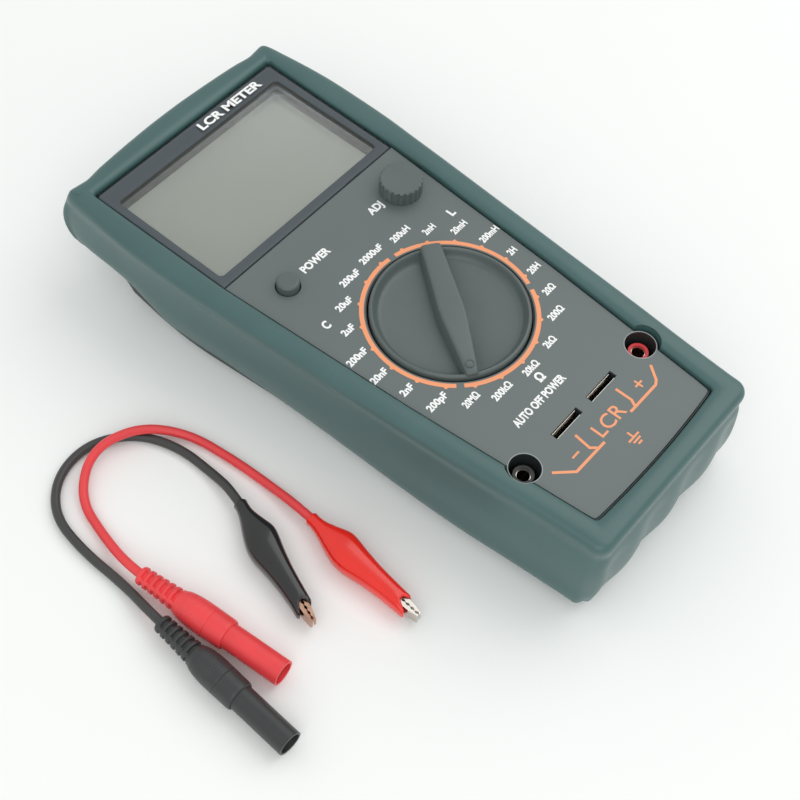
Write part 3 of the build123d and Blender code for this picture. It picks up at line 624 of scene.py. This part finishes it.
S_DISPLAY = curve_table((0, 8), (3, 5), (8, 3.0), (15, 2.0), (24, 2.4), (30, 2.2), (33.5, 1.5),
                        (35.5, 0.3), (37, 0), (38.4, 0.2), (39.3, 0.9), (39.8, 1.8), (40, 2.8))
S_JACK = curve_table((0, 3.6), (3, 1.2), (7, -1.1), (15, -0.9), (24, -0.7), (30, 0.0),
                     (33.5, 0.5), (35.5, 0.2), (37, 0), (38.4, 0.2), (39.3, 0.9), (39.8, 1.8),
                     (40, 2.8))
F_JACK = curve_table((0, 3.2), (3, 1.0), (8, -0.6), (15, -1.6), (22, -1.7), (27, -1.2), (31, -0.2),
                     (33, 0.4), (35, 0.2), (37, 0), (38.4, 0.2), (39.3, 0.9), (39.8, 1.8),
                     (40, 2.8))
Y_END = curve_table((0, 79.5), (2.2, 82.9), (7, 88.4), (12, 94.1), (18, 100.5), (21, 102.4),
                    (24, 103.6), (31, 104.5), (36, 105.0), (38.4, 104.8), (39.3, 104.1),
                    (39.8, 103.1), (40, 102.1))
CORNER_OUT = curve_table((0, 0), (9, 0.2), (12, 1.0), (15, 2.4), (18, 3.8), (21, 4.6), (24, 4.7),
                         (27, 4.4), (30, 3.7), (33, 2.4), (36, 0.9), (38, 0.2), (40, 0))
TOE = curve_table((0, 1.6), (4, 1.5), (9, 1.3), (20, 0.9), (30, 0.4), (36, 0))
HEEL = table((0, 0.12), (5, 0.09), (10, 0.05), (18, 0.0))


def wall_ring(loop, normals, z, extra=0.0, scallops=True):
    ring = []
    for (x, y), (nx, ny) in zip(loop, normals):
        mix = ramp01(y, -65, 30)
        side = S_JACK(z) * (1 - mix) + S_DISPLAY(z) * mix
        inset = side * nx * nx
        if y < -90 and ny < 0:
            wave = 0.0
            if scallops:
                wave = 0.6 * (1 - cos(2 * pi * x / 20.6)) * (1 - ramp01(abs(x), 34, 38))
                wave *= ramp01(z, -1, 8) * (1 - ramp01(z, 25, 32))
            inset += (F_JACK(z) + wave) * ny * ny + TOE(z) * (2 * nx * ny) ** 2
        inset += extra
        near, far = min(inset, 3.5), max(inset - 3.5, 0.0)
        px, py = x - nx * near, y - ny * near
        if far:
            px -= far * px / 44.0
            if y < 60:
                py -= far * py / 105.0
        if y > 60:
            px *= 1 - HEEL(z) * ramp01(y, 60, 104)
            out = CORNER_OUT(z) * ramp01(y, 78, 101) * ramp01(abs(x), 26, 45)
            py = 60 + (py - 60) * (Y_END(z) - 60) / 45.0 + out * 0.75
            px += out * 0.62 * (1 if x > 0 else -1)
        ring.append((px, py, z))
    return ring


def make_holster():
    loop = mirrored(rim_half())
    normals = normals_of(loop)
    inner = mirrored(panel_half(0.7))
    heights = [0, 0.6, 1.4, 2.4, 3.4, 4.2, 4.45]
    rings = [wall_ring(loop, normals, z) for z in heights]
    rings.append(wall_ring(loop, normals, 4.65, 0.3))
    heights = [4.85, 5.2, 6.5, 8, 9.5, 11, 13, 15, 17, 19, 21, 23, 25, 27, 28.5, 30, 31.5, 32.5,
               33.5, 34.5, 35.5, 36.3, 37, 37.8, 38.5, 39, 39.5, 39.8, 40]
    rings += [wall_ring(loop, normals, z) for z in heights]
    crest = rings[-1]
    for t, z in ((0.3, 40.12), (0.6, 40.05), (0.82, 39.75), (0.94, 39.35), (1.0, 38.8),
                 (1.0, 37.5), (1.0, 36.2)):
        rings.append([(a[0] + (b[0] - a[0]) * t, a[1] + (b[1] - a[1]) * t, z)
                      for a, b in zip(crest, inner)])

    def inside(z, inset, back):
        ring = []
        for (x, y), (nx, ny) in zip(loop, normals):
            px, py = x - nx * min(inset, 4.0), y - ny * min(inset, 4.0)
            if inset > 4.0:
                px -= (inset - 4.0) * px / 44.0
            if y > 60:
                py = 60 + (py - 60) * (back - 60) / 45.0
            ring.append((px, py, z))
        return ring
    rings += [inside(36.2, 3.8, 105), inside(26, 3.8, 103.5), inside(18, 3.8, 99.0),
              inside(12, 4.0, 93.0), inside(9, 4.6, 89.0), inside(5.0, 6.4, 84.0)]
    holster = add_piece("holster_boot", *loft(rings), "holster", "meter", "holster_rubber",
                        smooth=50)
    cutters = []
    for side in (-1, 1):
        cutters.append(spin([(6.0, 35.8), (6.15, 38.8), (6.4, 41.0)], side * 29.4, -68.35, 64))
    cutters.append(block(-26.5, 26.5, -52.0, 42.0, -1.0, 4.0))
    cutters.append(block(-9.0, 9.0, -60.0, -51.5, -1.0, 3.2))
    cut(holster, cutters, smooth=50)
    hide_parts("holster")
    return holster


make_holster()


# ---------------------------------------------------------------- display
def lens_half(grow=0.0):
    y0, y1, r = 40.9 - grow, 96.6 + grow, 1.2
    x0, x1 = PANEL_SIDE(40.9) + grow, PANEL_SIDE(96.6) + grow
    pts = [(x0 * i / 8.0, y0) for i in range(8)]
    pts += arc(x0 - 0.3, y0 + 0.3, 0.3, -90, 0, 4)
    pts += [(x0 + (x1 - x0) * i / 12, y0 + 0.3 + (y1 - r - y0 - 0.3) * i / 12)
            for i in range(1, 12)]
    pts += arc(x1 - r, y1 - r, r, 0, 90, 6)
    pts += [((x1 - r) * (1 - i / 8), y1) for i in range(1, 9)]
    return pts


def window_loop(x, y0, y1, r, count):
    """Rounded rectangle with as many points as the lens outline, in the same order."""
    half = [((x - r) * i / 8.0, y0) for i in range(8)]
    half += arc(x - r, y0 + r, r, -90, 0, 4)
    half += [(x, y0 + r + (y1 - y0 - 2 * r) * i / 12) for i in range(1, 12)]
    half += arc(x - r, y1 - r, r, 0, 90, 6)
    half += [((x - r) * (1 - i / 8), y1) for i in range(1, 9)]
    assert len(mirrored(half)) == count
    return mirrored(half)


def at(loop, z):
    return [(x, y, z) for x, y in loop]


def make_display():
    outline = mirrored(lens_half())
    lip = mirrored(lens_half(-0.35))
    n = len(outline)
    verts, faces = loft([at(outline, 36.4), at(outline, 37.95), at(lip, 38.3)])
    lens = add_piece("lens_plate", verts, faces, "lens", "meter", "lens", 30)
    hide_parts("display_lens")
    window = window_loop(37.4, 44.6, 90.2, 1.5, n)
    shrunk = mirrored(lens_half(-0.25))
    ring = [at(shrunk, 37.55), at(window, 37.55), at(window_loop(37.3, 44.7, 90.1, 1.5, n), 37.45),
            at(window, 37.2), at(shrunk, 37.2)]
    verts, faces = loft(ring + [ring[0]], False, False)
    add_piece("lens_border", verts, faces, "mask", "meter", None, 30)
    glass = window_loop(35.3, 45.5, 89.1, 1.0, n)
    well = [at(window_loop(37.4, 44.6, 90.2, 1.4, n), 37.15),
            at(window_loop(37.0, 44.9, 89.8, 1.4, n), 36.2),
            at(window_loop(35.7, 45.3, 89.4, 1.2, n), 33.6), at(glass, 33.06),
            at(window_loop(38.1, 44.4, 90.3, 1.4, n), 33.06),
            at(window_loop(38.1, 44.4, 90.3, 1.4, n), 37.15)]
    verts, faces = loft(well + [well[0]], False, False)
    add_piece("display_bezel", verts, faces, "bezel", "meter", None, 30)


make_display()


# ---------------------------------------------------------------- printed face
def face_half(grow):
    y0, y1 = -93.9 - grow, 40.45 + grow
    x0, x1 = PANEL_SIDE(-93.9) + grow, PANEL_SIDE(40.4) + grow
    r = 1.2
    pts = []
    for i in range(24):
        x = (x0 - r) * i / 24
        pts.append((x, y0 + 0.25 - 1.2 * (1 - (x / x0) ** 2)))
    pts += arc(x0 - r, y0 + 0.25 + r, r, -90, 0, 6)
    pts += [(PANEL_SIDE(y) + grow, y) for y in
            (y0 + 0.3 + r + (y1 - y0 - r - 0.4) * i / 40 for i in range(1, 41))]
    pts += [(x1 * (1 - i / 10), y1) for i in range(11)]
    return pts


def make_face():
    low, edge, top = (mirrored(face_half(g)) for g in (0.0, 0.0, -0.12))
    face = add_piece("face_panel", *loft([at(low, 37.4), at(edge, 37.88), at(top, 38.0)]), "panel",
                     "meter", "panel", 30)
    holes = [spin([(26.25, 37.0), (26.25, 37.8), (26.45, 38.5)], *DIAL, 128),
             spin([(4.0, 37.0), (4.2, 38.5)], 27.9, 26.4, 48),
             spin([(4.0, 37.0), (4.2, 38.5)], -26.2, 26.8, 48)]
    for side in (-1, 1):
        x0, x1 = sorted((side * 2.4, side * 15.2))
        holes.append(spin([(5.2, 37.0), (5.2, 38.5)], side * 29.4, -68.35, 64))
        holes.append(block(x0, x1, -69.5, -66.9, 37.0, 38.5))
    cut(face, holes, 30)
    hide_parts("faceplate")
    edges = []
    for grow, width, high in ((0.2, 0.28, 37.7),):
        out_loop, in_loop = mirrored(face_half(grow + width)), mirrored(face_half(grow))
        ring = [at(in_loop, 36.3), at(in_loop, high), at(out_loop, high), at(out_loop, 36.3)]
        edges.append(loft(ring + [ring[0]], False, False))
    strip = add_piece("face_edge", *join(edges), "case", "meter", "case_plastic", 30)
    cut(strip, [spin([(5.3, 36.0), (5.3, 38.5)], side * 29.4, -68.35, 48) for side in (-1, 1)],
        30)


make_face()


# ---------------------------------------------------------------- range knob
def make_knob():
    profile = [(8.0, 31.4), (8.0, 33.4), (25.2, 33.4), (25.4, 33.8), (25.4, 38.1), (25.25, 38.75),
               (24.95, 39.12), (24.6, 39.24), (24.3, 39.2), (24.05, 38.95), (23.7, 38.3),
               (23.1, 37.3), (22.6, 36.7), (22.1, 36.4), (21.0, 36.25), (18.0, 36.15),
               (14.0, 36.05), (9.0, 36.0), (4.0, 36.0), (0.4, 36.0)]
    disc = spin(profile, 0, 0, 160)
    dished = []
    for x, y, z in disc[0]:
        r = hypot(x, y)
        if z > 35.5 and 0.5 < r < 23.0:
            z -= 0.9 * exp(-max(y - 3.5, 0.0) / 3.5) * ramp01(y, 0.0, 3.0) * (1 - ramp01(r, 18, 23))
        dished.append((x, y, z))
    disc = (dished, disc[1])
    half = table((-25.2, 3.1), (2.0, 4.15), (25.2, 1.75))
    top = table((-25.2, 41.4), (10, 41.2), (25.2, 40.4))
    rings = []
    for x, shrink, drop in ((-25.25, 0.7, 1.2), (-25.1, 0.35, 0.5), (-24.7, 0.1, 0.1),
                            (-22, 0, 0), (-16, 0, 0), (-8, 0, 0), (0, 0, 0), (4, 0, 0),
                            (10, 0, 0), (16, 0, 0), (21, 0, 0), (24.5, 0.05, 0.05),
                            (25.0, 0.3, 0.4), (25.15, 0.6, 1.1)):
        w, t = half(x) - shrink, top(x) - drop
        side = [(w + 0.85, 35.6), (w + 0.6, 37.5), (w + 0.28, t - 1.2), (w + 0.12, t - 0.6),
                (w - 0.12, t - 0.25), (w - 0.5, t - 0.05), (w - 1.0, t)]
        ring = [(x, y, z) for y, z in side] + [(x, -y, z) for y, z in reversed(side)]
        rings.append(ring)
    bar = loft(rings)
    mark = []
    for r, z in ((1.6, 40.5), (1.5, 40.85), (1.3, 40.9), (1.15, 40.8), (1.1, 40.5)):
        mark.append([(21.6 + r * cos(2 * pi * i / 32), r * sin(2 * pi * i / 32), z)
                     for i in range(32)])
    emboss = loft(mark, True, True)
    turn = radians(234.0)
    parts = placed(join([disc, bar, emboss]), (DIAL[0], DIAL[1], 0), (cos(turn), sin(turn)))
    knob = add_piece("dial_knob", *parts, "knob", "range_dial", "knob_plastic", 35)
    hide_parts("range_knob")


make_knob()


# ---------------------------------------------------------------- rings round the jacks
def make_jack_rings():
    rings = []
    for side in (-1, 1):
        rings.append(spin([(4.92, 37.85), (4.92, 38.04), (4.98, 38.12), (5.14, 38.12),
                           (5.24, 38.0), (5.24, 37.85)], side * 29.4, -68.35, 72, closed=True))
    # The rings' light grey colour is a painted highlight on the case plastic rims.
    add_piece("jack_rings", *join(rings), "ring_grey", "meter", None, 40)


make_jack_rings()


def make_slot_springs():
    """Sprung contact strips that show inside the two component slots."""
    strips = []
    for side in (-1, 1):
        x0, x1 = sorted((side * 3.1, side * 14.5))
        for lean in (-1, 1):
            ring = [(-68.2 + lean * 1.12, 33.6), (-68.2 + lean * 0.86, 33.6),
                    (-68.2 + lean * 0.42, 35.6), (-68.2 + lean * 0.95, 37.1),
                    (-68.2 + lean * 1.15, 37.1), (-68.2 + lean * 0.64, 35.6)]
            strips.append(loft([[(x0, y, z) for y, z in ring], [(x1, y, z) for y, z in ring]]))
    add_piece("slot_springs", *join(strips), "nickel", "meter", None, 20)


make_slot_springs()


# ---------------------------------------------------------------- printing
def lettering(text, cx, cy, width, height, z, weight=0.042):
    """Flat letters with the middle at (cx, cy), made `width` long and `height` tall."""
    font = bpy.data.curves.new("lettering", "FONT")
    font.body = text
    font.size = 1.0
    font.offset = weight
    font.resolution_u = 3
    holder = bpy.data.objects.new("lettering", font)
    scene.collection.objects.link(holder)
    graph = bpy.context.evaluated_depsgraph_get()
    mesh = bpy.data.meshes.new_from_object(holder.evaluated_get(graph))
    xs = [v.co.x for v in mesh.vertices]
    low = 0.0
    tall = 0.70
    x0, x1 = min(xs), max(xs)
    sx, sy = width / (x1 - x0), height / tall
    verts = [(cx + (v.co.x - (x0 + x1) / 2) * sx, cy + (v.co.y - low - tall / 2) * sy, z)
             for v in mesh.vertices]
    faces = [tuple(p.vertices) for p in mesh.polygons]
    bpy.data.objects.remove(holder)
    return verts, faces


def stroke(points, width, z):
    """Flat line of even width through points, with mitred corners."""
    left, right = [], []
    for i, (x, y) in enumerate(points):
        ax, ay = points[max(i - 1, 0)]
        bx, by = points[min(i + 1, len(points) - 1)]
        d1 = Vector((x - ax, y - ay))
        d2 = Vector((bx - x, by - y))
        d1 = d1.normalized() if d1.length else d2.normalized()
        d2 = d2.normalized() if d2.length else d1
        n = Vector((-(d1 + d2).y, (d1 + d2).x)).normalized()
        half = width / 2 / max(abs(n.dot(Vector((-d1.y, d1.x)))), 0.4)
        left.append((x + n.x * half, y + n.y * half, z))
        right.append((x - n.x * half, y - n.y * half, z))
    k = len(points)
    return left + right, [(i, i + 1, k + i + 1, k + i) for i in range(k - 1)]


def dial_ring(z):
    """Printed band round the dial: a bump at each range, broken between the sections."""
    gaps = (9.0, 117.0, -135.0)
    verts, faces = [], []
    steps = 720
    for i in range(steps):
        a = 360.0 * i / steps
        bump = 0.6 * exp(-(((a + 9) % 18 - 9) / 1.1) ** 4)
        t = radians(a)
        for r in (26.8, 28.25 + bump):
            verts.append((DIAL[0] + r * sin(t), DIAL[1] + r * cos(t), z))
    for i in range(steps):
        a = 360.0 * (i + 0.5) / steps
        if any(abs((a - g + 180) % 360 - 180) < 2.3 for g in gaps):
            continue
        j = (i + 1) % steps
        faces.append((2 * i, 2 * i + 1, 2 * j + 1, 2 * j))
    return verts, faces


LABELS = [("2000uF", 0.8, 33.0), ("200uF", -10.9, 31.7), ("20uF", -19.8, 26.4), ("2uF", -26.4, 19.0),
          ("200nF", -32.2, 10.4), ("20nF", -33.0, 1.0), ("2nF", -31.3, -8.4),
          ("200pF", -28.6, -17.8), ("20MΩ", -21.3, -24.9), ("200kΩ", -12.6, -29.9),
          ("20kΩ", -0.1, -31.3), ("2kΩ", 11.5, -29.8), ("200Ω", 21.7, -24.6),
          ("20Ω", 27.7, -17.4), ("20H", 31.2, -8.8), ("2H", 32.0, 0.6), ("200mH", 32.6, 10.3),
          ("20mH", 28.3, 19.3), ("2mH", 21.1, 25.9), ("200uH", 13.3, 31.5)]


def make_printing():
    z = 38.03
    white = [lettering(t, x, y + DIAL[1], 1.62 * len(t), 2.3, z) for t, x, y in LABELS]
    white.append(lettering("ADJ", 16.2, 27.4, 6.1, 2.7, z))
    white.append(lettering("POWER", -12.8, 27.5, 12.2, 2.7, z))
    white.append(lettering("AUTO OFF POWER", -7.8, -57.3, 24.0, 2.6, z))
    white.append(lettering("LCR METER", 17.5, 93.0, 29.0, 3.2, 38.42))
    white.append(lettering("C", -29.5, 8.2, 2.3, 2.9, z))
    white.append(lettering("L", 31.5, 8.1, 2.0, 2.9, z))
    white.append(lettering("Ω", -0.9, -52.3, 2.9, 2.9, z))
    add_piece("print_white", *join(white), "white_ink", "meter", None, 30)
    orange = [dial_ring(z)]
    orange.append(lettering("LCR", 0.5, -76.9, 12.6, 4.9, z, 0.008))
    lines = [
        [(25.3, -75.0), (21.9, -79.4), (20.3, -80.3), (7.2, -80.2)],
        [(10.9, -72.1), (10.9, -78.0), (9.8, -79.9)],
        [(-25.4, -75.1), (-20.3, -80.3), (-6.6, -80.5)],
        [(-10.5, -72.6), (-11.2, -78.4), (-9.6, -80.1)],
        [(17.1, -74.6), (17.1, -77.8)], [(15.5, -76.2), (18.7, -76.2)],
        [(-17.5, -76.7), (-14.3, -76.7)],
        [(0.5, -83.6), (0.5, -86.0)], [(-2.0, -86.0), (3.0, -86.0)],
        [(-1.2, -87.2), (2.2, -87.2)], [(-0.4, -88.4), (1.4, -88.4)],
    ]
    for i, line in enumerate(lines):
        orange.append(stroke(line, 0.9 if i < 4 else 0.65, z - 0.005 * (i % 3)))
    add_piece("print_orange", *join(orange), "orange_ink", "meter", None, 30)


make_printing()


# ---------------------------------------------------------------- floor and light
def make_floor():
    mesh = bpy.data.meshes.new("floor")
    size = 6.0
    mesh.from_pydata([(-size, -size, -0.0002), (size, -size, -0.0002), (size, size, -0.0002),
                      (-size, size, -0.0002)], [], [(0, 1, 2, 3)])
    mesh.materials.append(material("floor", srgb(248, 249, 248), 0.85, 0.05, 40, 0.02, 0.00002,
                                   0.006, 3))
    floor = bpy.data.objects.new("floor", mesh)
    scene.collection.objects.link(floor)


def area_light(name, place, target, size, power, colour=(1, 1, 1)):
    data = bpy.data.lights.new(name, "AREA")
    data.shape = "RECTANGLE"
    data.size, data.size_y = size
    data.energy = power
    data.color = colour
    lamp = bpy.data.objects.new(name, data)
    scene.collection.objects.link(lamp)
    lamp.location = place
    lamp.rotation_euler = (Vector(target) - Vector(place)).to_track_quat("-Z", "Y").to_euler()


def make_light():
    world = bpy.data.worlds.new("studio")
    scene.world = world
    world.use_nodes = True
    sky = world.node_tree.nodes["Background"]
    sky.inputs["Color"].default_value = (0.985, 1.0, 0.99, 1.0)
    sky.inputs["Strength"].default_value = 0.76
    area_light("key", (0.75, -0.2, 1.05), (-0.02, 0.0, 0.0), (1.1, 1.1), 4.5)
    area_light("fill", (-0.8, -0.5, 0.9), (-0.03, 0.0, 0.0), (1.0, 1.0), 3.4)


make_floor()
make_light()
